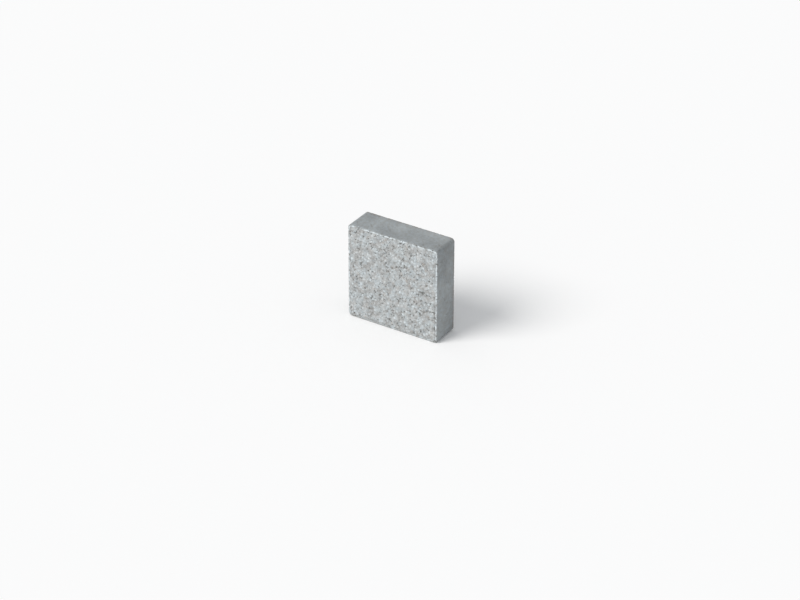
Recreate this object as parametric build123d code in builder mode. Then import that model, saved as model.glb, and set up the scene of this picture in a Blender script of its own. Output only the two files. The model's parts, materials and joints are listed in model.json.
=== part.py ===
"""Square concrete paver, pressed in one piece and standing on one of its sides.

The wearing face, which is walked on once the paver is laid, looks towards -Y.
The bed face, which lies on the sand, looks towards +Y.
The origin is on the floor, under the middle of the block. Sizes are in millimetres.
"""

import os

from build123d import *

# The block, which is sold as 20 x 20 x 6 cm. Its face is 2 mm under that, to leave room for the joint.
face_width = 198.0  # across the wearing face, along X
face_height = 198.0  # up the wearing face, along Z
thickness = 62.0  # from the wearing face to the bed face, along Y

# The bevel round the wearing face. It keeps its width round the corners.
bevel_width = 3.5  # seen square on to the wearing face
bevel_depth = 3.0  # down the sides, from the wearing face
wearing_corner_radius = 4.0  # corners of the wearing face itself, inside the bevel

# The arris round the bed face, which rounds over a little as the block leaves the mould.
bed_arris_radius = 1.0

# The mould's corners, which run through the thickness, follow from the bevel.
mould_corner_radius = wearing_corner_radius + bevel_width


with BuildPart() as paver:
    # The mould's outline, standing in the plane of the bed face.
    with BuildSketch(Plane.XZ.offset(-thickness / 2)):
        with Locations((0, face_height / 2)):
            RectangleRounded(face_width, face_height, mould_corner_radius)
    extrude(amount=thickness)

    # The press shoe's bevelled lip leaves the bevel round the wearing face.
    wearing_face = paver.faces().sort_by(Axis.Y)[0]
    chamfer(
        wearing_face.edges(),
        length=bevel_width,
        length2=bevel_depth,
        reference=wearing_face,
    )

    bed_face = paver.faces().sort_by(Axis.Y)[-1]
    fillet(bed_face.edges(), radius=bed_arris_radius)

paver.part.label = "paver"

os.makedirs("parts", exist_ok=True)
export_step(paver.part, "parts/paver.step")
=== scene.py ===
"""Square concrete paver with stone chips exposed in its wearing face, laid out as a Blender add-on.

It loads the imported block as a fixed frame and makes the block's real surface in its place: pressed
sides with pores and drag marks, a more open bed face, nibbled edges, and cement paste in which
Geometry Nodes set the stone chips. The wearing face looks towards -Y. Lengths are in metres.
"""

import json
import math
import random
from typing import NamedTuple

import bmesh
import bpy
import numpy as np
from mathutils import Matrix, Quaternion, Vector, noise

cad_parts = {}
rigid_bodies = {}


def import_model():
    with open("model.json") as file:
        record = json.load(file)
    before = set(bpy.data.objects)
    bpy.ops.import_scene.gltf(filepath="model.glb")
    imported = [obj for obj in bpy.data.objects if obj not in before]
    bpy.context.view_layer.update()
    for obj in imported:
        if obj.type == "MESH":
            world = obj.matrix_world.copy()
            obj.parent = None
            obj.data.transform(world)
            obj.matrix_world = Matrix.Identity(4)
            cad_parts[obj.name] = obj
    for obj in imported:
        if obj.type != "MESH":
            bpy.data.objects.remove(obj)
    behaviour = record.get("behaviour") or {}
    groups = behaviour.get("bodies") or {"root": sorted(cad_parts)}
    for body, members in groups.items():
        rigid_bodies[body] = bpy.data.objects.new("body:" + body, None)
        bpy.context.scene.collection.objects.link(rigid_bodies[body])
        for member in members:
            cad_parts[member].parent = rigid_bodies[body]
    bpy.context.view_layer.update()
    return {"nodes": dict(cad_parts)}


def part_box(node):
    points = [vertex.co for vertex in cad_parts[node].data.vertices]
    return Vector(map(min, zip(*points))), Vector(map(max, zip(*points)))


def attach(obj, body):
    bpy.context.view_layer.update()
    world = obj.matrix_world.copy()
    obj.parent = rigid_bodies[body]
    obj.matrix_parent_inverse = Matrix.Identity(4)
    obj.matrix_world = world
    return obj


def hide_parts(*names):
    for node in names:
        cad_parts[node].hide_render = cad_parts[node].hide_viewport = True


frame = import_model()

bl_info = {
    "name": "Concrete paver",
    "version": (1, 0, 0),
    "blender": (4, 5, 0),
    "location": "3D View > Sidebar > Paver",
    "description": "Makes the surface, stone chips and stage of a square concrete paver",
    "category": "Add Mesh",
}

NODE = "paver"
BODY = "root"
MM = 0.001
TOUCH = 0.01 * MM  # how near a plane of the block a corner of its CAD mesh counts as on it
IMAGE = (800, 600)  # the photograph's frame, in pixels
SENSOR = 36.0  # camera sensor's width, in millimetres


def linear(hex_colour):
    """Linear red, green and blue of an sRGB hex value such as #8a8f92."""
    parts = [int(hex_colour[i : i + 2], 16) / 255 for i in (1, 3, 5)]
    return [p / 12.92 if p <= 0.04045 else ((p + 0.055) / 1.055) ** 2.4 for p in parts]


class Block:
    """The pressed block's driving sizes, read off its CAD node."""

    def __init__(self, node):
        self.low, self.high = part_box(node)
        self.middle = (self.low + self.high) / 2
        self.width = self.high.x - self.low.x
        self.height = self.high.z - self.low.z
        places = np.array([v.co for v in frame["nodes"][node].data.vertices])
        on_face = places[places[:, 1] < self.low.y + TOUCH]
        on_side = places[places[:, 0] > self.high.x - TOUCH]
        self.bevel_width = self.high.x - on_face[:, 0].max()
        self.bevel_depth = on_side[:, 1].min() - self.low.y
        self.arris_radius = self.high.y - on_side[:, 1].max()
        self.corner_radius = on_side[:, 2].min() - self.low.z

    def inset(self, places):
        """How far inside the mould's outline places lie, in X and Z, and the way out from there."""
        half = np.array([self.width, self.height]) / 2 - self.corner_radius
        offset = places[:, [0, 2]] - np.array([self.middle.x, self.middle.z])
        beyond = np.abs(offset) - half
        outside = np.maximum(beyond, 0)
        reach = np.linalg.norm(outside, axis=1)
        inner = np.minimum(beyond.max(axis=1), 0)
        nearest = np.eye(2)[beyond.argmax(axis=1)]
        way = np.where(reach[:, None] > 0, outside / np.maximum(reach, 1e-12)[:, None], nearest)
        return self.corner_radius - reach - inner, way * np.sign(offset)


block = Block(NODE)
bevel_end = block.low.y + block.bevel_depth
arris_start = block.high.y - block.arris_radius


# Settings


def length_setting(name, description, default, least=0.0):
    """A length property, in metres."""
    return bpy.props.FloatProperty(
        name=name, description=description, default=default, min=least, subtype="DISTANCE", unit="LENGTH"
    )


def angle_setting(name, description, degrees):
    """An angle property whose default is given in degrees."""
    return bpy.props.FloatProperty(
        name=name, description=description, default=math.radians(degrees), subtype="ANGLE", unit="ROTATION"
    )


def colour_setting(name, description, hex_colour):
    """A colour property whose default is an sRGB hex value."""
    return bpy.props.FloatVectorProperty(
        name=name,
        description=description,
        default=linear(hex_colour),
        min=0,
        max=1,
        size=3,
        subtype="COLOR",
    )


class PaverSurface(bpy.types.PropertyGroup):
    """How the pressed block's surface departs from its plain form, always inwards"""

    mesh_step: length_setting("Mesh step", "Width of the mesh's faces across the block", 1.1 * MM, 0.5 * MM)
    paste_recess: length_setting(
        "Paste recess", "How far the cement paste is washed back from the tops of the chips", 0.8 * MM
    )
    waviness: length_setting("Waviness", "Depth of the gentle unevenness of the sides", 0.12 * MM)
    drag_depth: length_setting(
        "Drag marks", "Depth of the marks that the mould leaves through the thickness", 0.1 * MM
    )
    pore_depth: length_setting(
        "Pore depth", "Depth of the open pores in the sides and the bed face", 1.2 * MM
    )
    pit_depth: length_setting(
        "Pit depth", "Depth of the open pits between the grains of the wearing face", 1.6 * MM
    )
    nibble_depth: length_setting(
        "Nibbled edges", "Depth to which crumbs have broken off the edges", 1.4 * MM
    )


class PaverChips(bpy.types.PropertyGroup):
    """The stone chips in the wearing face, in four grades"""

    coarse: length_setting("Coarse chips", "Mean width of the coarse grade", 7.4 * MM, MM)
    medium: length_setting("Medium chips", "Mean width of the medium grade", 5.0 * MM, MM)
    fine: length_setting("Fine chips", "Mean width of the fine grade", 3.2 * MM, 0.5 * MM)
    sand: length_setting(
        "Sand grains", "Mean width of the sand grains that stand out of the paste", 1.9 * MM, 0.5 * MM
    )
    seed: bpy.props.IntProperty(
        name="Seed", description="Another number throws the chips another way", default=7
    )


class PaverColours(bpy.types.PropertyGroup):
    """Colours of the concrete and of its stones"""

    paste: colour_setting("Face paste", "Washed cement paste between the chips", "#b2b5b5")
    film: colour_setting("Cement film", "Thin cement left on the chips and the bevel", "#bfc4c5")
    # This pale cement skin is also a painted highlight along the bevel.
    lip: colour_setting("Lip", "Cement skin that the press shoe draws along the bevel", "#dde6ea")
    # Dust in the pores and pits, darkened further to paint the shade that falls in them.
    pit: colour_setting("Pits", "Dust in the pores and pits", "#78726b")
    # Also the colour of the painted shade along the foot of the wearing face.
    stain: colour_setting("Stain", "Bedding dust on the edges that lay on it", "#82776e")
    core: colour_setting("Core concrete", "Cement skin of the sides and the bed face", "#a0a6a8")
    core_dark: colour_setting("Core blotches", "Damper and denser areas of the cement skin", "#8c9193")
    granite: colour_setting("Granite chips", "Light grey granite", "#bbc0c2")
    quartz: colour_setting("Quartz chips", "Milky quartz", "#c9ced0")
    gneiss: colour_setting("Gneiss chips", "Mid-grey gneiss", "#acb0b0")
    basalt: colour_setting("Basalt chips", "Blue-grey basalt", "#979c9e")
    porphyry: colour_setting("Porphyry chips", "Brown-grey porphyry", "#a09c97")


class PaverStage(bpy.types.PropertyGroup):
    """Floor, light and camera"""

    azimuth: angle_setting(
        "Azimuth", "Camera's turn to the right of straight in front of the wearing face", 32.52
    )
    elevation: angle_setting("Elevation", "Camera's height above the horizon", 29.96)
    roll: angle_setting("Roll", "Camera's tilt about its line of sight", 0.1)
    distance: length_setting("Distance", "From the camera to the block's middle", 5.46, 0.5)
    floor: colour_setting("Floor", "Studio floor, as the camera sees it", "#ffffff")
    sky_strength: bpy.props.FloatProperty(
        name="Soft light", description="Strength of the even light from all round", default=0.54, min=0
    )
    key_strength: bpy.props.FloatProperty(
        name="Key light",
        description="Share of full light that the key light adds to a surface that faces it",
        default=0.61,
        min=0,
    )


# Materials

NODE_GAP = 220  # between the nodes of a tree, in the node editor
STONE_IOR = 1.54  # of quartz and feldspar
CEMENT_IOR = 1.5
THICK_FILM = (0.97, 1.0, 1.02, 1)  # tint of the wearing face where its film of cement is thick
THIN_FILM = (1.03, 1.0, 0.985, 1)
THICK_SKIN = (1.085, 1.105, 1.13, 1)  # tint of the sides where the cement skin is thick
THIN_SKIN = (0.935, 0.895, 0.86, 1)
STREAK_WIDTH = 2.2 * MM
STREAK_LENGTH = 45 * MM
FACE_MIX_DEPTH = 0.75  # where the face mix ends, as a share of the way down the bevel
FACE_MIX_RAGGED = 2 * MM  # how far its edge runs up and down
FACE_MIX_BLEND = 0.3 * MM  # how far to either side of that edge it fades


def output_of(value):
    """The output that a (node, output) pair names, or a node's first one in use; None for a value."""
    node, name = value if isinstance(value, tuple) and len(value) == 2 else (value, None)
    if not isinstance(node, bpy.types.Node):
        return None
    return next(s for s in node.outputs if s.enabled and name in (None, s.name))


def add(tree, kind, inputs=None, **settings):
    """Adds a node. settings are its properties, and inputs its sockets, by name or by place.

    An input is a value, a node, a (node, output) pair, or a list of nodes that all lead there.
    """
    node = tree.nodes.new(kind)
    node.location = (NODE_GAP * len(tree.nodes), 0)
    for name, value in settings.items():
        setattr(node, name, value)
    for name, value in (inputs or {}).items():
        named = (s for s in node.inputs if s.enabled and s.name == name)
        socket = node.inputs[name] if isinstance(name, int) else next(named)
        for each in value if isinstance(value, list) else [value]:
            output = output_of(each)
            if output is None:
                socket.default_value = each
            else:
                tree.links.new(output, socket)
    return node


def per_metre(size):
    """Scale of a texture node whose features are size metres apart."""
    return 1 / size


def new_material(name):
    """An empty node material and its Object coordinates, as a link."""
    material = bpy.data.materials.new(name)
    material.use_nodes = True
    material.node_tree.nodes.clear()
    coordinates = add(material.node_tree, "ShaderNodeTexCoord")
    return material, material.node_tree, (coordinates, "Object")


def patches(tree, place, size, detail, roughness, reach, shares=(0.0, 1.0), easing="LINEAR"):
    """A noise with features of a real size, and how much of a finish it lets show.

    Over the reach of the noise, what shows goes from the first of shares to the second.
    """
    field = add(
        tree,
        "ShaderNodeTexNoise",
        {"Vector": place, "Scale": per_metre(size), "Detail": detail, "Roughness": roughness},
    )
    shown_share = add(
        tree,
        "ShaderNodeMapRange",
        {
            "Value": field,
            "From Min": reach[0],
            "From Max": reach[1],
            "To Min": shares[0],
            "To Max": shares[1],
        },
        interpolation_type=easing,
    )
    return field, shown_share


def finish_surface(tree, colour, roughness, ior, grain, strength, depth):
    """Ends a material's tree with its shader, over the fine relief of its grain."""
    bump = add(tree, "ShaderNodeBump", {"Strength": strength, "Distance": depth, "Height": grain})
    shader = add(
        tree,
        "ShaderNodeBsdfPrincipled",
        {"Base Color": colour, "Roughness": roughness, "IOR": ior, "Normal": bump},
    )
    add(tree, "ShaderNodeOutputMaterial", {"Surface": shader})


def cloudy_tone(tree, place):
    """Tint that varies over the wearing face in patches of some millimetres, as the film of cement does.

    Where the film is thin the face is darker and warmer.
    """
    film, brightness = patches(
        tree, place, size=9 * MM, detail=1.5, roughness=0.5, reach=(0.3, 0.7), shares=(0.77, 1.2)
    )
    hues = add(
        tree,
        "ShaderNodeTexNoise",
        {"Vector": place, "Scale": per_metre(14 * MM), "Detail": 2.0, "Roughness": 0.6},
    )
    thinness = add(tree, "ShaderNodeMath", {0: film, 1: -0.8, 2: hues}, operation="MULTIPLY_ADD")
    warmth = add(tree, "ShaderNodeMapRange", {"Value": thinness, "From Min": -0.05, "From Max": 0.25})
    tint = add(tree, "ShaderNodeMix", {"Factor": warmth, "A": THICK_FILM, "B": THIN_FILM}, data_type="RGBA")
    return add(tree, "ShaderNodeVectorMath", {0: tint, "Scale": brightness}, operation="SCALE")


def stone_material(stone, colours):
    """Broken stone, washed but still filmed with cement in places, with fine flecks and a dull break."""
    material, tree, place = new_material(f"Broken {stone.colour}")
    tint = add(tree, "ShaderNodeAttribute", attribute_name="chip_tint")
    least, most = 1 - stone.spread, 1 + stone.spread
    toned = add(
        tree,
        "ShaderNodeMapRange",
        {"Value": (tint, "Fac"), "From Min": -1.0, "To Min": least, "To Max": most},
    )
    # Minerals of a stone chip are about half a millimetre across.
    minerals, flecks = patches(
        tree,
        place,
        size=0.7 * MM,
        detail=1.0,
        roughness=0.6,
        reach=(0.56, 0.66),
        shares=(0.0, stone.fleck_share),
        easing="SMOOTHSTEP",
    )
    flecked = add(
        tree,
        "ShaderNodeMix",
        {"Factor": flecks, "A": (*getattr(colours, stone.colour), 1), "B": (*linear(stone.fleck), 1)},
        data_type="RGBA",
    )
    own_tone = add(tree, "ShaderNodeVectorMath", {0: flecked, "Scale": toned}, operation="SCALE")
    _, film = patches(
        tree,
        place,
        size=2.4 * MM,
        detail=3.0,
        roughness=0.65,
        reach=(0.42, 0.58),
        shares=(0.0, 0.7),
        easing="SMOOTHSTEP",
    )
    filmed = add(
        tree, "ShaderNodeMix", {"Factor": film, "A": own_tone, "B": (*colours.film, 1)}, data_type="RGBA"
    )
    shaded = add(
        tree, "ShaderNodeVectorMath", {0: filmed, 1: cloudy_tone(tree, place)}, operation="MULTIPLY"
    )
    finish_surface(tree, shaded, stone.roughness, STONE_IOR, grain=minerals, strength=0.4, depth=0.1 * MM)
    return material


def cement_skin(tree, place, colours):
    """Colour of the sides: soft blotches some centimetres across, and streaks through the thickness."""
    blotch = add(tree, "ShaderNodeAttribute", attribute_name="blotch")
    across = per_metre(STREAK_WIDTH)
    stretched = add(
        tree, "ShaderNodeMapping", {"Vector": place, "Scale": (across, per_metre(STREAK_LENGTH), across)}
    )
    streaks = add(tree, "ShaderNodeTexNoise", {"Vector": stretched, "Scale": 1.0, "Detail": 2.0})
    uneven = add(tree, "ShaderNodeMath", {0: streaks, 1: 0.3, 2: (blotch, "Fac")}, operation="MULTIPLY_ADD")
    dampness = add(tree, "ShaderNodeMapRange", {"Value": uneven, "From Min": 0.2, "From Max": 1.15})
    skin = add(
        tree,
        "ShaderNodeMix",
        {"Factor": dampness, "A": (*colours.core, 1), "B": (*colours.core_dark, 1)},
        data_type="RGBA",
    )
    # Darker, warmer mottles where the skin is thin over the grains.
    _, thin = patches(tree, place, size=6 * MM, detail=3.0, roughness=0.65, reach=(0.35, 0.65))
    tint = add(tree, "ShaderNodeMix", {"Factor": thin, "A": THICK_SKIN, "B": THIN_SKIN}, data_type="RGBA")
    return add(tree, "ShaderNodeVectorMath", {0: skin, 1: tint}, operation="MULTIPLY")


def face_mix_share(tree, place):
    """One on the face mix, nought on the core. The face mix ends raggedly, low on the bevel."""
    parts = add(tree, "ShaderNodeSeparateXYZ", {"Vector": place})
    ragged = add(tree, "ShaderNodeTexNoise", {"Vector": place, "Scale": per_metre(6 * MM), "Detail": 3.0})
    edge = add(
        tree, "ShaderNodeMath", {0: ragged, 1: FACE_MIX_RAGGED, 2: (parts, "Y")}, operation="MULTIPLY_ADD"
    )
    border = block.low.y + FACE_MIX_DEPTH * block.bevel_depth + FACE_MIX_RAGGED / 2
    return add(
        tree,
        "ShaderNodeMapRange",
        {
            "Value": edge,
            "From Min": border - FACE_MIX_BLEND,
            "From Max": border + FACE_MIX_BLEND,
            "To Min": 1.0,
            "To Max": 0.0,
        },
        interpolation_type="SMOOTHSTEP",
    )


def pressed_concrete(colours):
    """Vibration-pressed concrete: a matt cement skin, softly blotched and dragged along the thickness.

    Over the wearing face and its bevel it is the lighter paste of the face mix, which the washing
    leaves sandy. The surface's own attributes say where its pores, its pale skin on the bevel and its
    stains are. Dust in the pores and pits is darkened further as painted shade, the pale skin on the bevel
    is partly a painted highlight, and the foot of the wearing face is darkened with painted shade.
    """
    material, tree, place = new_material("Pressed concrete with washed face mix")
    names = ("hollow", "stain", "lip")
    hollow, stain, lip = ((add(tree, "ShaderNodeAttribute", attribute_name=n), "Fac") for n in names)
    face_paste = add(
        tree, "ShaderNodeVectorMath", {0: colours.paste, 1: cloudy_tone(tree, place)}, operation="MULTIPLY"
    )
    # Pale cement skin along the bevel, also a painted highlight there.
    face_skin = add(
        tree, "ShaderNodeMix", {"Factor": lip, "A": face_paste, "B": (*colours.lip, 1)}, data_type="RGBA"
    )
    # Dust and painted shade in the pores and pits.
    dust_and_shade = add(tree, "ShaderNodeMapRange", {"Value": hollow, "To Max": 0.8})

    # The face mix lies over the core and stains over both; along the foot of the wearing face they are
    # painted shade. Dust lies in the pores and pits, darkened further as painted shade.
    whole = cement_skin(tree, place, colours)
    for share, layer in (
        (face_mix_share(tree, place), face_skin),
        (stain, (*colours.stain, 1)),
        (dust_and_shade, (*colours.pit, 1)),
    ):
        whole = add(tree, "ShaderNodeMix", {"Factor": share, "A": whole, "B": layer}, data_type="RGBA")

    # Sand grains of about 0.8 mm, drawn a little coarse so that they show.
    sand, speckle = patches(
        tree, place, size=1.1 * MM, detail=2.0, roughness=0.7, reach=(0.3, 0.7), shares=(0.9, 1.09)
    )
    colour = add(tree, "ShaderNodeVectorMath", {0: whole, "Scale": speckle}, operation="SCALE")
    dullness = add(tree, "ShaderNodeMapRange", {"Value": sand, "To Min": 0.98, "To Max": 0.82})
    finish_surface(tree, colour, dullness, CEMENT_IOR, grain=sand, strength=0.8, depth=0.3 * MM)
    return material


# The block's plain form, as a mesh fine enough to be given relief

# Travel and outward way, in X and Z, of the floor side, right side, top side and left side.
SIDES = (((1, 0), (0, -1)), ((0, 1), (1, 0)), ((-1, 0), (0, 1)), ((0, -1), (-1, 0)))
SIDE_STRETCH = 1.5  # length over width of the mesh's faces on the sides, where marks are drawn out
BEVEL_ROWS = (0, 0.12, 0.37, 0.63, 0.88)  # shares of the way down the bevel at which rings lie
ARRIS_ROWS = (30, 60, 90)  # degrees round the arris at which rings lie


def outline(counts):
    """Places and ways out round the mould's outline, each side from corner middle to corner middle."""
    radius = block.corner_radius
    arc = radius * math.pi / 4
    half = np.array([block.width, block.height]) / 2 - radius
    middle = np.array([block.middle.x, block.middle.z])
    places = []
    ways = []
    for (travel, out), count in zip(SIDES, counts):
        travel = np.array(travel)
        out = np.array(out)
        straight = 2 * abs(travel @ half)
        along = np.arange(count) / count * (straight + 2 * arc)
        turned = np.clip(along, 0, arc) - arc + np.clip(along - arc - straight, 0, arc)
        angle = (turned / radius)[:, None]
        way = np.cos(angle) * out + np.sin(angle) * travel
        run = np.clip(along - arc, 0, straight)[:, None] * travel
        places.append(middle + half * (out - travel) + run + radius * way)
        ways.append(way)
    return np.concatenate(places), np.concatenate(ways)


def ring_stations(step):
    """Inset and place along Y of each ring, from the wearing face's edge to the bed face's edge."""
    rows = [(block.bevel_width * (1 - t), block.low.y + block.bevel_depth * t) for t in BEVEL_ROWS]
    count = round((arris_start - bevel_end) / (SIDE_STRETCH * step)) + 1
    rows += [(0, y) for y in np.linspace(bevel_end, arris_start, count)]
    for angle in np.radians(ARRIS_ROWS):
        inset = block.arris_radius * (1 - math.cos(angle))
        rows.append((inset, arris_start + block.arris_radius * math.sin(angle)))
    return rows


def cap_sides(border, counts):
    """The bottom, right, top and left side of a closed border, each towards higher numbers."""
    across, up = counts[:2]
    closed = np.concatenate([border, border[:1]])
    corner = across + up
    top = closed[corner : corner + across + 1][::-1]
    return closed[: across + 1], closed[across : corner + 1], top, closed[corner + across :][::-1]


def cap_grid(border, counts):
    """A grid of places that fills a closed border, blended from its four sides."""
    bottom, right, top, left = cap_sides(border, counts)
    u = np.linspace(0, 1, len(bottom))[:, None, None]
    v = np.linspace(0, 1, len(left))[None, :, None]
    sides = (1 - v) * bottom[:, None] + v * top[:, None] + (1 - u) * left[None] + u * right[None]
    low_corners = (1 - u) * (1 - v) * bottom[0] + u * (1 - v) * bottom[-1]
    high_corners = u * v * top[-1] + (1 - u) * v * top[0]
    return sides - low_corners - high_corners


def cap_numbers(border, first, counts):
    """Numbers of the vertices of a cap's grid: the border's own, and new ones inside from first on."""
    bottom, right, top, left = cap_sides(border, counts)
    numbers = np.zeros((len(bottom), len(left)), int)
    inside = numbers[1:-1, 1:-1]
    inside[:] = first + np.arange(inside.size).reshape(inside.shape)
    numbers[:, 0] = bottom
    numbers[-1, :] = right
    numbers[:, -1] = top
    numbers[0, :] = left
    return numbers


def grid_faces(numbers):
    """Four-sided faces between the vertices of a grid."""
    corners = (numbers[:-1, :-1], numbers[1:, :-1], numbers[1:, 1:], numbers[:-1, 1:])
    return np.stack(corners, axis=-1).reshape(-1, 4)


def plain_block(step):
    """Vertices and faces of the block's plain form."""
    counts = [round(size / step) for size in (block.width, block.height)] * 2
    places, ways = outline(counts)
    stations = ring_stations(step)
    around = len(places)
    rings = []
    for inset, y in stations:
        flat = places - inset * ways
        rings.append(np.column_stack([flat[:, 0], np.full(around, y), flat[:, 1]]))
    numbers = np.arange(around * len(rings)).reshape(len(rings), around)
    wrapped = np.column_stack([numbers, numbers[:, 0]])
    vertices = [np.concatenate(rings)]
    faces = [grid_faces(wrapped)]
    first = around * len(rings)
    for ring, turn in ((0, 1), (-1, -1)):
        grid = cap_grid(rings[ring], counts)
        faces.append(grid_faces(cap_numbers(numbers[ring], first, counts))[:, ::turn])
        inside = grid[1:-1, 1:-1].reshape(-1, 3)
        vertices.append(inside)
        first += len(inside)
    return np.concatenate(vertices), np.concatenate(faces)


# The block's real surface

# Distance between bumps, seed, octaves and stretch of each kind of unevenness, as relief takes them.
WAVES = (22 * MM, 1)
SKIN = (4 * MM, 2, 2)
DRAG_MARKS = (1.6 * MM, 3, 2, (1, 22, 1))
WASHED_SAND = (1.7 * MM, 4, 2)
LOOSE_GRAINS = (3.8 * MM, 8, 2)
LOOSE_AREAS = (12 * MM, 9)
PORES = (1.9 * MM, 5, 3)
PORE_AREAS = (14 * MM, 6)
OPEN_AREAS = (15 * MM, 6, 3)
CRUMBS = (3.6 * MM, 7, 3)
CRUMB_AREAS = (16 * MM, 15)
LIP_EDGE = (7 * MM, 12, 3)
STAIN_EDGE = (8 * MM, 13, 3)
BLOTCHES = (46 * MM, 2058, 3)  # the seed lays them about as the photograph shows them
BED_GRAINS = (3.8 * MM, 14)  # width and seed of the grains that show in the bed face

NOISE_START = np.array([17.3, 5.1, 9.7])  # how far apart the noises of neighbouring seeds start
NOISE_REACH = 0.6  # most of the fractal noise lies within this of nought
GRAIN_REACH = 0.9  # few places lie further from a grain's middle than this, in grain widths
WASHED_DEPTH = 0.5  # how far down the bevel the paste is washed back, as a share
SHOULDER_WIDTH = 2.5  # how far in from the sides the wearing face starts to round over, in bevel widths
FRONT_BLEND = 0.5 * MM  # how far to either side of the bevel's end the front gives way to the sides
CRUMB_REACH = 1.6 * MM  # how far from an edge crumbs break off
LIP_MIDDLE = 0.5  # where the pale skin, partly a painted highlight, lies, as a share of the way down the bevel
LIP_WIDTH = 0.4  # how far to either side it fades, as the same share
EDGE_STAIN = 0.9  # how strong the bedding dust is, and how far it reaches, on the bed face's edges
EDGE_STAIN_REACH = 3.5 * MM
FOOT_SHADE = 0.55  # how strong the painted shade is, and how far it reaches, along the foot of the wearing face
FOOT_SHADE_REACH = 4 * MM


def noise_places(places, size, seed):
    """Places in units of size, moved to the part of the noise that belongs to the seed."""
    return places / size + NOISE_START * seed


def relief(places, bump, seed, octaves=1, stretch=(1, 1, 1)):
    """Smooth random relief from about -1 to 1 at places, with bumps about twice that far apart."""
    scaled = noise_places(places, bump * np.array(stretch), seed)
    return np.array([noise.fractal(p, 1.0, 2.0, octaves) for p in scaled]) / NOISE_REACH


def between_grains(places, size, seed):
    """How far below the tops of round grains, packed size apart, places lie: from 0 to about 1."""
    nearest = np.array([noise.voronoi(p)[0][0] for p in noise_places(places, size, seed)])
    return np.minimum(nearest / GRAIN_REACH, 1) ** 2


def ramp(values, start, end):
    """From 0 at start to 1 at end, easing in and out."""
    t = np.clip((values - start) / (end - start), 0, 1)
    return t * t * (3 - 2 * t)


def shoulder_drop(inset):
    """How far the rounded shoulder of the wearing face lies below the plain face and bevel."""
    rounded = np.maximum(1 - inset / (SHOULDER_WIDTH * block.bevel_width), 0) ** 2
    plain = np.maximum(1 - inset / block.bevel_width, 0)
    return block.bevel_depth * np.maximum(rounded - plain, 0)


def surface_relief(places, settings):
    """Depth of the real surface below the plain form, and what its material reads there, by name."""
    y = places[:, 1]
    inset, _ = block.inset(places)
    face = 1 - ramp(y, block.low.y, block.low.y + WASHED_DEPTH * block.bevel_depth)
    front = 1 - ramp(y, bevel_end - FRONT_BLEND, bevel_end + FRONT_BLEND)
    bed = ramp(y, arris_start, block.high.y)
    side = 1 - face - bed

    # Unevenness of the whole block, and marks of the mould's walls along the thickness.
    wave = 0.5 + 0.5 * relief(places, *WAVES)
    skin = 0.5 + 0.5 * relief(places, *SKIN)
    drag = np.abs(relief(places, *DRAG_MARKS))
    depth = settings.waviness * (wave + 0.5 * skin) + settings.drag_depth * side * drag

    # Washed paste between the chips, a rounded shoulder, and open pits where grains are missing.
    depth += face * settings.paste_recess * (1 + 0.35 * relief(places, *WASHED_SAND))
    depth += front * shoulder_drop(inset)
    loose = relief(places, *LOOSE_GRAINS) + 0.25 * relief(places, *LOOSE_AREAS)
    pits = front * ramp(loose, 0.55, 0.95)
    depth += settings.pit_depth * pits

    # Open pores: few in the sides. The bed face lay on the board and shows its grains, coated with cement.
    open_texture = relief(places, *PORES) + 0.5 * relief(places, *PORE_AREAS)
    side_pores = side * ramp(open_texture, 0.95, 1.5)
    openness = ramp(relief(places, *OPEN_AREAS), -0.9, 0.5)
    grains = between_grains(places, *BED_GRAINS)
    bed_pores = bed * np.maximum(ramp(grains, 0.55, 1.0) * openness, ramp(open_texture, 0.7, 1.3))
    depth += settings.pore_depth * (side_pores + bed * grains * (0.35 + 0.65 * openness))

    # Crumbs broken off the edges of the bevel and the bed face.
    to_bed_edge = block.high.y - y + inset
    to_side_edge = np.abs(y - bevel_end) + inset
    to_face_edge = y - block.low.y + np.abs(inset - block.bevel_width)
    to_edge = np.minimum(np.minimum(to_bed_edge, to_side_edge), to_face_edge)
    near_edge = np.exp(-((to_edge / CRUMB_REACH) ** 2))
    crumbs = ramp(relief(places, *CRUMBS), 0.3, 1.3) * ramp(relief(places, *CRUMB_AREAS), -0.5, 0.5)
    depth += settings.nibble_depth * near_edge * crumbs

    down_bevel = 1 - inset / block.bevel_width
    # A pale cement skin down the middle of the bevel, also a painted highlight.
    on_lip_and_highlight = front * np.exp(-(((down_bevel - LIP_MIDDLE) / LIP_WIDTH) ** 2))
    on_edge = EDGE_STAIN * np.exp(-to_bed_edge / EDGE_STAIN_REACH) * (1 - bed)
    # Painted shade along the foot of the wearing face, darkest at the floor.
    foot_shade = FOOT_SHADE * front * np.exp(-(places[:, 2] - block.low.z) / FOOT_SHADE_REACH)
    values = {
        # Dust in the pores and pits, darkened further as painted shade.
        "hollow": np.clip(side_pores + bed_pores + pits, 0, 1),
        # Pale cement skin on the bevel, partly a painted highlight.
        "lip": on_lip_and_highlight * ramp(relief(places, *LIP_EDGE), -0.8, 0.2),
        "blotch": 0.5 + 0.5 * relief(places, *BLOTCHES),
        # Bedding dust on the bed face's edges, and painted shade along the foot of the wearing face.
        "stain": np.maximum(on_edge, foot_shade) * ramp(relief(places, *STAIN_EDGE), -0.8, 0.4),
    }
    return np.maximum(depth, 0), values


def add_values(mesh, name, domain, values):
    """Stores one number for each point or face of a mesh, for its material or the chips to read."""
    attribute = mesh.attributes.new(name, "FLOAT", domain)
    attribute.data.foreach_set("value", values.astype(np.float32))


def shown(name, mesh, material):
    """Links a finished piece to the scene and lets it stand on the block's body."""
    piece = bpy.data.objects.new(name, mesh)
    mesh.materials.clear()
    mesh.materials.append(material)
    bpy.context.scene.collection.objects.link(piece)
    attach(piece, BODY)
    return piece


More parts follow.
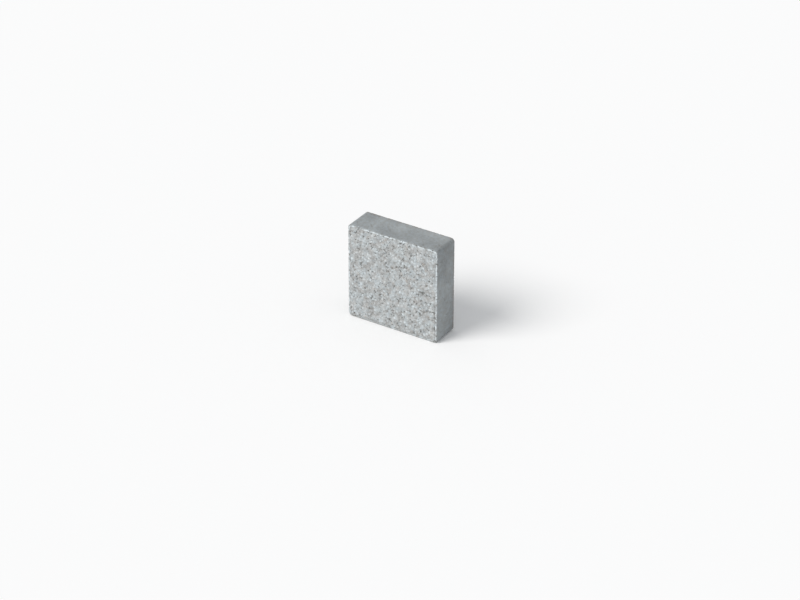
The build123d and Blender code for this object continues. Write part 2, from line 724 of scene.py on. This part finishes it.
class PAVER_OT_make_block(bpy.types.Operator):
    """Make the pressed block's real surface, with its pores, drag marks and nibbled edges"""

    bl_idname = "paver.make_block"
    bl_label = "Make pressed block"

    def execute(self, context):
        settings = context.scene.paver_surface
        vertices, faces = plain_block(settings.mesh_step)
        mesh = bpy.data.meshes.new("pressed_block")
        mesh.from_pydata(vertices.tolist(), [], faces.tolist())
        normals = np.array([v.normal for v in mesh.vertices])
        depth, values = surface_relief(vertices, settings)
        moved = vertices - normals * depth[:, None]
        mesh.vertices.foreach_set("co", moved.ravel())
        mesh.shade_smooth()
        for name, numbers in values.items():
            add_values(mesh, name, "POINT", numbers)
        mesh.update()
        piece = shown("pressed_block", mesh, pressed_concrete(context.scene.paver_colours))
        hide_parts(NODE)
        return {"FINISHED"}


# The stone chips

# Height, reach and number of the corners of a chip a metre wide. Its top is broad and its foot narrow.
CHIP_RINGS = ((0, 0.34, 5), (-0.2, 0.5, 7), (-0.6, 0.36, 5))
SAND_RINGS = ((0, 0.3, 3), (-0.35, 0.5, 5))
SHAPES = 14
GROUND_STEP = 3 * MM
CHIP_SPACING = 0.86  # least distance between chips of one grade, as a share of their width
PIT_EDGE = 0.12  # how hollow the block is where chips stop
CHIP_THROWS = 1.2e6  # chips thrown on a square metre before those that fall too close are taken out
GRADE_SEEDS = 10.0  # seeds set aside for each grade


class Grade(NamedTuple):
    """One grade of chips, as the tree that sets them takes it."""

    width: str  # the input that holds its mean width
    shapes: str  # the input that holds its shapes
    widths: tuple  # range of its widths, as shares of the mean
    depths: tuple  # how deep its tops lie below the wearing plane
    on_bevel: float  # its density on the bevel, as a share of that on the face


class Stone(NamedTuple):
    """One kind of stone among the chips."""

    piece: str
    colour: str  # its colour setting
    spread: float  # how far its chips differ in tone
    roughness: float
    fleck: str  # colour of its darker or lighter minerals
    fleck_share: float  # how much of that colour shows in a fleck
    share: float  # of all chips


GRADES = (
    Grade("Coarse width", "Chip shapes", (0.75, 1.35), (0.0, 0.3 * MM), 0.0),
    Grade("Medium width", "Chip shapes", (0.7, 1.3), (0.05 * MM, 0.45 * MM), 0.0),
    Grade("Fine width", "Chip shapes", (0.7, 1.25), (0.1 * MM, 0.45 * MM), 0.35),
    Grade("Sand width", "Sand shapes", (0.7, 1.3), (0.1 * MM, 0.45 * MM), 0.5),
)
STONES = (
    Stone("granite_chips", "granite", 0.12, 0.70, "#a7abad", 0.5, 0.52),
    Stone("quartz_chips", "quartz", 0.06, 0.45, "#bfc2c2", 0.5, 0.10),
    Stone("gneiss_chips", "gneiss", 0.15, 0.75, "#bdc0c0", 0.4, 0.20),
    Stone("basalt_chips", "basalt", 0.16, 0.80, "#84888a", 0.5, 0.08),
    Stone("porphyry_chips", "porphyry", 0.15, 0.75, "#aca6a1", 0.5, 0.10),
)
# The inputs of the tree that sets the chips, by their kind of socket.
CHIP_INPUTS = {
    "Geometry": ("Geometry",),
    "Collection": ("Chip shapes", "Sand shapes"),
    "Material": ("Stone",),
    "Float": ("Share from", "Share to", "Coarse width", "Medium width", "Fine width", "Sand width"),
    "Int": ("Seed",),
    "Object": ("Block",),
}


def chip_mesh(name, rings, chance):
    """One angular stone chip a metre wide, nowhere above its origin."""
    form = bmesh.new()
    narrowing = chance.uniform(0.65, 1.0)
    for height, reach, count in rings:
        turn = chance.uniform(0, math.tau)
        for k in range(count):
            angle = turn + math.tau * (k + chance.uniform(-0.3, 0.3)) / count
            radius = reach * chance.uniform(0.78, 1.0)
            drop = chance.uniform(0, 0.1)
            form.verts.new((radius * math.cos(angle), narrowing * radius * math.sin(angle), height - drop))
    hull = bmesh.ops.convex_hull(form, input=form.verts)
    bmesh.ops.delete(form, geom=list({*hull["geom_interior"], *hull["geom_unused"]}), context="VERTS")
    bmesh.ops.recalc_face_normals(form, faces=form.faces)
    mesh = bpy.data.meshes.new(name)
    form.to_mesh(mesh)
    form.free()
    return mesh


def shape_collection(name, rings, seed):
    """Shapes that the node tree picks from, in a collection outside the scene."""
    chance = random.Random(seed)
    shapes = bpy.data.collections.new(name)
    for k in range(SHAPES):
        shape = f"{name}_{k}"
        shapes.objects.link(bpy.data.objects.new(shape, chip_mesh(shape, rings, chance)))
    return shapes


def chip_ground():
    """The wearing face, its shoulder and its bevel as a coarse surface that says what is bevel."""
    vertices, faces = plain_block(GROUND_STEP)
    inset, _ = block.inset(vertices)
    front = vertices[:, 1] < bevel_end + TOUCH
    vertices[:, 1] += front * shoulder_drop(inset)
    kept = faces[front[faces].all(axis=1)]
    mesh = bpy.data.meshes.new("chip_ground")
    mesh.from_pydata(vertices.tolist(), [], kept.tolist())
    add_values(mesh, "on_bevel", "FACE", inset[kept].min(axis=1) < block.bevel_width - TOUCH)
    return mesh


def throw_chips(tree, given, grade, number, in_pit, thrown):
    """Seats the points of one grade, clear of pits and of the larger chips.

    Returns the points as thrown, the points as seated, and each chip's random draws by name.
    """
    slope = add(tree, "GeometryNodeInputNamedAttribute", {"Name": "on_bevel"}, data_type="FLOAT")
    density = add(
        tree, "ShaderNodeMath", {0: slope, 1: grade.on_bevel - 1, 2: 1.0}, operation="MULTIPLY_ADD"
    )
    spacing = add(tree, "ShaderNodeMath", {0: (given, grade.width), 1: CHIP_SPACING}, operation="MULTIPLY")
    seed = add(tree, "ShaderNodeMath", {0: (given, "Seed"), 1: GRADE_SEEDS * number}, operation="ADD")
    points = add(
        tree,
        "GeometryNodeDistributePointsOnFaces",
        {
            "Mesh": (given, "Geometry"),
            "Distance Min": spacing,
            "Density Max": CHIP_THROWS,
            "Density Factor": density,
            "Seed": seed,
        },
        distribute_method="POISSON",
    )
    # Each draw has its own seed, so that a chip's size says nothing of its tone, shape or turn.
    shallow, deep = grade.depths
    bounds = {
        "share": ("FLOAT", *grade.widths),
        "depth": ("FLOAT", -deep, -shallow),
        "lot": ("FLOAT", 0.0, 1.0),
        "turn": ("FLOAT", 0.0, math.tau),
        "shape": ("INT", 0, SHAPES - 1),
        "tint": ("FLOAT", -1.0, 1.0),
    }
    drawn = {}
    for count, (name, (kind, low, high)) in enumerate(bounds.items()):
        own_seed = add(tree, "ShaderNodeMath", {0: seed, 1: count}, operation="ADD")
        drawn[name] = add(
            tree, "FunctionNodeRandomValue", {"Min": low, "Max": high, "Seed": own_seed}, data_type=kind
        )
    kept = add(
        tree, "GeometryNodeDeleteGeometry", {"Geometry": points, "Selection": in_pit}, domain="POINT"
    )
    for larger, larger_width in thrown:
        nearest = add(tree, "GeometryNodeProximity", {"Geometry": larger}, target_element="POINTS")
        both = add(
            tree, "ShaderNodeMath", {0: (given, larger_width), 1: (given, grade.width)}, operation="ADD"
        )
        clear = add(tree, "ShaderNodeMath", {0: both, 1: CHIP_SPACING / 2}, operation="MULTIPLY")
        too_near = add(
            tree,
            "FunctionNodeCompare",
            {"A": (nearest, "Distance"), "B": clear},
            data_type="FLOAT",
            operation="LESS_THAN",
        )
        kept = add(
            tree, "GeometryNodeDeleteGeometry", {"Geometry": kept, "Selection": too_near}, domain="POINT"
        )
    sunk = add(
        tree, "ShaderNodeVectorMath", {0: (points, "Normal"), "Scale": drawn["depth"]}, operation="SCALE"
    )
    seated = add(tree, "GeometryNodeSetPosition", {"Geometry": kept, "Offset": sunk})
    return points, seated, drawn


def lay_chips(tree, given, grade, points, seated, drawn):
    """Lays this stone's share of one grade of chips, picked by lot, on their points."""
    above = add(
        tree,
        "FunctionNodeCompare",
        {"A": drawn["lot"], "B": (given, "Share from")},
        data_type="FLOAT",
        operation="GREATER_EQUAL",
    )
    below = add(
        tree,
        "FunctionNodeCompare",
        {"A": drawn["lot"], "B": (given, "Share to")},
        data_type="FLOAT",
        operation="LESS_THAN",
    )
    chosen = add(tree, "FunctionNodeBooleanMath", {0: above, 1: below}, operation="AND")
    spin = add(tree, "FunctionNodeAxisAngleToRotation", {"Axis": (0, 0, 1), "Angle": drawn["turn"]})
    lie = add(
        tree,
        "FunctionNodeRotateRotation",
        {"Rotation": (points, "Rotation"), "Rotate By": spin},
        rotation_space="LOCAL",
    )
    width = add(tree, "ShaderNodeMath", {0: drawn["share"], 1: (given, grade.width)}, operation="MULTIPLY")
    shapes = add(
        tree,
        "GeometryNodeCollectionInfo",
        {"Collection": (given, grade.shapes), "Separate Children": True, "Reset Children": True},
    )
    chips = add(
        tree,
        "GeometryNodeInstanceOnPoints",
        {
            "Points": seated,
            "Selection": chosen,
            "Instance": shapes,
            "Pick Instance": True,
            "Instance Index": drawn["shape"],
            "Rotation": lie,
            "Scale": width,
        },
    )
    return add(
        tree,
        "GeometryNodeStoreNamedAttribute",
        {"Geometry": chips, "Name": "chip_tint", "Value": drawn["tint"]},
        data_type="FLOAT",
        domain="INSTANCE",
    )


def chips_tree():
    """Geometry Nodes tree that sets one kind of stone chip into a surface.

    Every kind throws the same chips, and each takes its own share of them, so that kinds don't meet.
    """
    tree = bpy.data.node_groups.new("Stone chips set in a face", "GeometryNodeTree")
    tree.is_modifier = True
    tree.interface.new_socket("Geometry", in_out="OUTPUT", socket_type="NodeSocketGeometry")
    for kind, names in CHIP_INPUTS.items():
        for name in names:
            tree.interface.new_socket(name, in_out="INPUT", socket_type=f"NodeSocket{kind}")
    given = add(tree, "NodeGroupInput")
    hollow = add(tree, "GeometryNodeInputNamedAttribute", {"Name": "hollow"}, data_type="FLOAT")
    under = add(tree, "GeometryNodeObjectInfo", {"Object": (given, "Block")})
    hollow_under = add(
        tree,
        "GeometryNodeSampleNearestSurface",
        {"Mesh": (under, "Geometry"), "Value": hollow},
        data_type="FLOAT",
    )
    in_pit = add(
        tree,
        "FunctionNodeCompare",
        {"A": hollow_under, "B": PIT_EDGE},
        data_type="FLOAT",
        operation="GREATER_THAN",
    )
    thrown = []
    laid = []
    for number, grade in enumerate(GRADES):
        points, seated, drawn = throw_chips(tree, given, grade, number, in_pit, thrown)
        thrown.append((seated, grade.width))
        laid.append(lay_chips(tree, given, grade, points, seated, drawn))
    together = add(tree, "GeometryNodeJoinGeometry", {"Geometry": laid})
    realised = add(tree, "GeometryNodeRealizeInstances", {"Geometry": together})
    finished = add(tree, "GeometryNodeSetMaterial", {"Geometry": realised, "Material": (given, "Stone")})
    add(tree, "NodeGroupOutput", {"Geometry": finished})
    return tree


def press_back(mesh):
    """Brings what stands out of the block's form back to it, as the press shoe does with the chips."""
    places = np.zeros(len(mesh.vertices) * 3)
    mesh.vertices.foreach_get("co", places)
    places = places.reshape(-1, 3)
    inset, way = block.inset(places)
    slope = np.array([block.bevel_depth, block.bevel_width])
    slope /= np.linalg.norm(slope)
    needed = block.bevel_width * (1 - (places[:, 1] - block.low.y) / block.bevel_depth)
    excess = np.maximum(needed - inset, 0) * slope[0]
    places[:, [0, 2]] -= way * (excess * slope[0])[:, None]
    places[:, 1] += excess * slope[1]
    inset, way = block.inset(places)
    places[:, [0, 2]] -= way * np.maximum(-inset, 0)[:, None]
    places[:, 1] = np.maximum(places[:, 1], block.low.y)
    mesh.vertices.foreach_set("co", places.ravel())
    mesh.update()


class PAVER_OT_set_chips(bpy.types.Operator):
    """Set the stone chips of each kind into the wearing face and its bevel"""

    bl_idname = "paver.set_chips"
    bl_label = "Set stone chips"

    def execute(self, context):
        settings = context.scene.paver_chips
        tree = chips_tree()
        sockets = {s.name: s.identifier for s in tree.interface.items_tree if s.in_out == "INPUT"}
        chip_shapes = shape_collection("chip_shape", CHIP_RINGS, settings.seed)
        sand_shapes = shape_collection("sand_shape", SAND_RINGS, settings.seed)
        ground = bpy.data.objects.new("chip_ground", chip_ground())
        context.scene.collection.objects.link(ground)
        share_from = 0.0
        for stone in STONES:
            material = stone_material(stone, context.scene.paver_colours)
            inputs = {
                "Chip shapes": chip_shapes,
                "Sand shapes": sand_shapes,
                "Stone": material,
                "Share from": share_from,
                "Share to": share_from + stone.share,
                "Coarse width": settings.coarse,
                "Medium width": settings.medium,
                "Fine width": settings.fine,
                "Sand width": settings.sand,
                "Seed": settings.seed,
                "Block": bpy.data.objects["pressed_block"],
            }
            modifier = ground.modifiers.new("Chips", "NODES")
            modifier.node_group = tree
            for name, value in inputs.items():
                modifier[sockets[name]] = value
            share_from += stone.share
            context.view_layer.update()
            evaluated = ground.evaluated_get(context.evaluated_depsgraph_get())
            mesh = bpy.data.meshes.new_from_object(evaluated)
            mesh.name = stone.piece
            ground.modifiers.remove(modifier)
            if not mesh.polygons:
                raise RuntimeError(f"no chips were set for {stone.piece}")
            press_back(mesh)
            shown(stone.piece, mesh, material)
        bpy.data.objects.remove(ground)
        for shapes in (chip_shapes, sand_shapes):
            for shape in list(shapes.objects):
                bpy.data.objects.remove(shape)
            bpy.data.collections.remove(shapes)
        return {"FINISHED"}


# The stage

FLOOR_SIZE = 30.0
FLOOR_BOUNCE = "#f3f3f3"  # what the floor throws back on the block
PHOTO_MIDDLE = (400.74, 277.31)  # pixel at which the block's middle shows
PHOTO_SCALE = 105.44  # pixels that the block's width takes, square on
KEY_WAY = (-0.38, -0.61, 0.70)  # from the block to the key light: from the left, in front and above
KEY_TINT = (1.02, 1, 0.98)  # a little warmer than the light from all round
SKY_TINT = (0.98, 1, 1.02)
KEY_SPREAD = math.radians(32)  # how wide the key light looks from the block, which softens its shadow
FAR_END = 100  # how far the camera sees


def camera_lens(settings):
    """Focal length in millimetres that shows the block at the photograph's scale."""
    return PHOTO_SCALE / block.width * settings.distance * SENSOR / IMAGE[0]


def placed(name, data, place, turn):
    """Links a camera or a lamp to the scene, at its place and turned."""
    thing = bpy.data.objects.new(name, data)
    bpy.context.scene.collection.objects.link(thing)
    thing.location = place
    thing.rotation_mode = "QUATERNION"
    thing.rotation_quaternion = turn
    return thing


def set_camera(context, settings):
    """Places the camera where the photograph was taken from."""
    data = bpy.data.cameras.new("camera")
    data.sensor_width = SENSOR
    data.lens = camera_lens(settings)
    data.clip_end = FAR_END
    azimuth, elevation = settings.azimuth, settings.elevation
    level = math.cos(elevation)
    back = Vector((math.sin(azimuth) * level, -math.cos(azimuth) * level, math.sin(elevation)))
    right = Vector((math.cos(azimuth), math.sin(azimuth), 0))
    up = back.cross(right)
    metres_per_pixel = block.width / PHOTO_SCALE
    beside = (PHOTO_MIDDLE[0] - IMAGE[0] / 2) * metres_per_pixel
    above = (IMAGE[1] / 2 - PHOTO_MIDDLE[1]) * metres_per_pixel
    aim = block.middle - right * beside - up * above
    place = block.middle + back * settings.distance
    looking = (aim - place).to_track_quat("-Z", "Y")
    turn = looking @ Quaternion((0, 0, 1), settings.roll)
    context.scene.camera = placed("camera", data, place, turn)


def white_for_camera(tree):
    """One for rays from the camera, and for those that a gloss or a clear body sends on."""
    path = add(tree, "ShaderNodeLightPath")
    seen = (path, "Is Camera Ray")
    for ray in ("Is Glossy Ray", "Is Transmission Ray"):
        seen = add(tree, "ShaderNodeMath", {0: seen, 1: (path, ray)}, operation="MAXIMUM")
    return seen


def set_world(context, settings):
    """Even light from all round, and a background that is white to the camera."""
    world = bpy.data.worlds.new("studio")
    context.scene.world = world
    world.use_nodes = True
    tree = world.node_tree
    tree.nodes.clear()
    strength = add(
        tree,
        "ShaderNodeMapRange",
        {"Value": white_for_camera(tree), "To Min": settings.sky_strength, "To Max": 1.0},
    )
    light = add(tree, "ShaderNodeBackground", {"Color": (*SKY_TINT, 1), "Strength": strength})
    add(tree, "ShaderNodeOutputWorld", {"Surface": light})


def set_floor(context, settings):
    """A wide matt floor, white to the camera and a little greyer in what it throws back."""
    mesh = bpy.data.meshes.new("studio_floor")
    form = bmesh.new()
    bmesh.ops.create_grid(form, x_segments=4, y_segments=4, size=FLOOR_SIZE / 2)
    form.to_mesh(mesh)
    form.free()
    floor = bpy.data.objects.new("studio_floor", mesh)
    context.scene.collection.objects.link(floor)
    material, tree, _ = new_material("Matt studio floor")
    bounce = (*linear(FLOOR_BOUNCE), 1)
    colour = add(
        tree,
        "ShaderNodeMix",
        {"Factor": white_for_camera(tree), "A": bounce, "B": (*settings.floor, 1)},
        data_type="RGBA",
    )
    shader = add(tree, "ShaderNodeBsdfDiffuse", {"Color": colour})
    add(tree, "ShaderNodeOutputMaterial", {"Surface": shader})
    mesh.materials.append(material)


def set_key_light(settings):
    """A soft light from above, in front and to the left, as even on the floor as on the block."""
    data = bpy.data.lights.new("key_light", "SUN")
    data.angle = KEY_SPREAD
    data.color = KEY_TINT
    # At this power per square metre a white matt surface that faces the light looks as bright as its share.
    data.energy = settings.key_strength * math.pi
    way = Vector(KEY_WAY).normalized()
    placed("key_light", data, block.middle + way, (-way).to_track_quat("-Z", "Y"))


class PAVER_OT_set_stage(bpy.types.Operator):
    """Set up the floor, the soft light and the camera"""

    bl_idname = "paver.set_stage"
    bl_label = "Set stage"

    def execute(self, context):
        settings = context.scene.paver_stage
        context.scene.view_settings.view_transform = "Standard"
        set_camera(context, settings)
        set_world(context, settings)
        set_floor(context, settings)
        set_key_light(settings)
        return {"FINISHED"}


# The panel and the script's run

OPERATORS = (PAVER_OT_make_block, PAVER_OT_set_chips, PAVER_OT_set_stage)
SETTINGS = {
    "paver_surface": PaverSurface,
    "paver_chips": PaverChips,
    "paver_colours": PaverColours,
    "paver_stage": PaverStage,
}


class PAVER_PT_panel(bpy.types.Panel):
    """Sizes and colours of the paver, and the steps that make it"""

    bl_idname = "PAVER_PT_panel"
    bl_label = "Concrete paver"
    bl_space_type = "VIEW_3D"
    bl_region_type = "UI"
    bl_category = "Paver"

    def draw(self, context):
        for name, group in SETTINGS.items():
            box = self.layout.box()
            for setting in group.__annotations__:
                box.prop(getattr(context.scene, name), setting)
        for operator in OPERATORS:
            self.layout.operator(operator.bl_idname)


CLASSES = (*SETTINGS.values(), *OPERATORS, PAVER_PT_panel)


def register():
    """Registers the classes and gives the scene its settings."""
    for each in CLASSES:
        bpy.utils.register_class(each)
    for name, group in SETTINGS.items():
        setattr(bpy.types.Scene, name, bpy.props.PointerProperty(type=group))


def unregister():
    """Takes the settings and the classes away again."""
    for name in SETTINGS:
        delattr(bpy.types.Scene, name)
    for each in reversed(CLASSES):
        bpy.utils.unregister_class(each)


def main():
    register()
    bpy.ops.paver.make_block()
    bpy.ops.paver.set_chips()
    bpy.ops.paver.set_stage()


if __name__ == "__main__":
    main()
